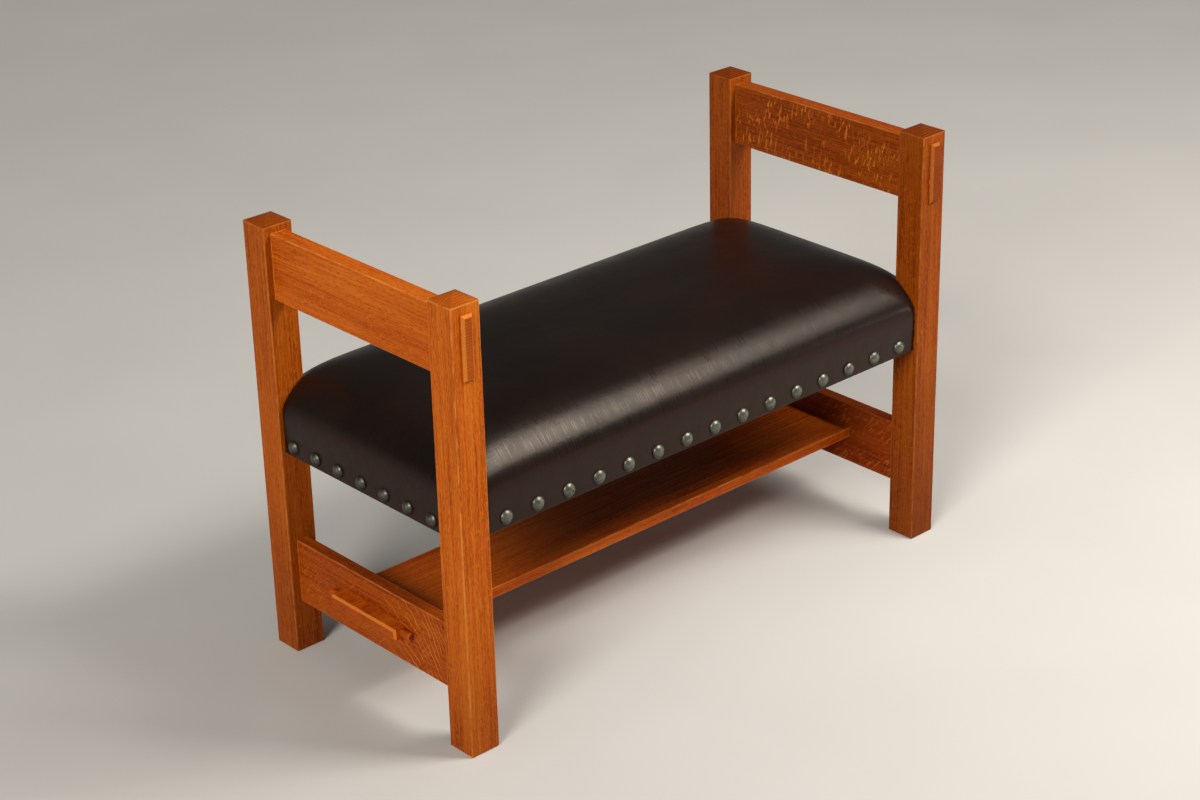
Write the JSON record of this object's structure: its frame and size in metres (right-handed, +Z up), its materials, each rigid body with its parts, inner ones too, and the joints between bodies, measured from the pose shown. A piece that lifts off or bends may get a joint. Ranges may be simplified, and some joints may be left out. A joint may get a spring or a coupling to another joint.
{
  "type": "window bench",
  "caption": "Low mission style window bench with post and rail ends, a crowned nailed leather seat and a pegged through-tenon shelf.",
  "frame": {"origin": "on the floor, under the middle of the bench", "axes": "+X along the bench to the right seen from the front, +Y to the back, +Z up"},
  "size_m": [0.927, 0.4442, 0.651],
  "materials": {
    "posts": "satin oiled oak, warm orange brown",
    "rails": "satin oiled quarter sawn oak with ray fleck",
    "shelf": "satin oiled oak, darker and redder",
    "pegs": "satin oiled oak",
    "frame_wood": "planed, unfinished",
    "plywood": "unfinished birch plywood",
    "leather": "smooth dark brown, semi-gloss",
    "foam": "open cell foam",
    "wadding": "soft white wadding",
    "dust_cloth": "thin black cloth",
    "nails": "aged, dull bronze green, rubbed at the top",
    "steel": "zinc plated"
  },
  "bodies": {
    "root": {"post_front_left": "posts", "post_front_right": "posts", "post_back_left": "posts", "post_back_right": "posts", "crest_rail_left": "rails", "crest_rail_right": "rails", "lower_rail_left": "rails", "lower_rail_right": "rails", "shelf": "shelf", "shelf_pegs_left": "pegs", "shelf_pegs_right": "pegs", "lower_rail_pins": "pegs", "seat_rail_pins": "pegs", "seat_rail_front": "frame_wood", "seat_rail_back": "frame_wood", "seat_rail_left": "frame_wood", "seat_rail_right": "frame_wood", "seat_cross_rail": "frame_wood", "corner_block_front_left": "frame_wood", "corner_block_front_right": "frame_wood", "corner_block_back_left": "frame_wood", "corner_block_back_right": "frame_wood", "seat_deck": "plywood", "leather_cover": "leather", "seat_pad": "foam", "seat_wadding": "wadding", "dust_cover": "dust_cloth", "nails_front": "nails", "nails_back": "nails", "nails_left": "nails", "nails_right": "nails", "deck_screws": "steel", "block_screws": "steel", "dust_cover_tacks": "steel"}
  },
  "joints": []
}
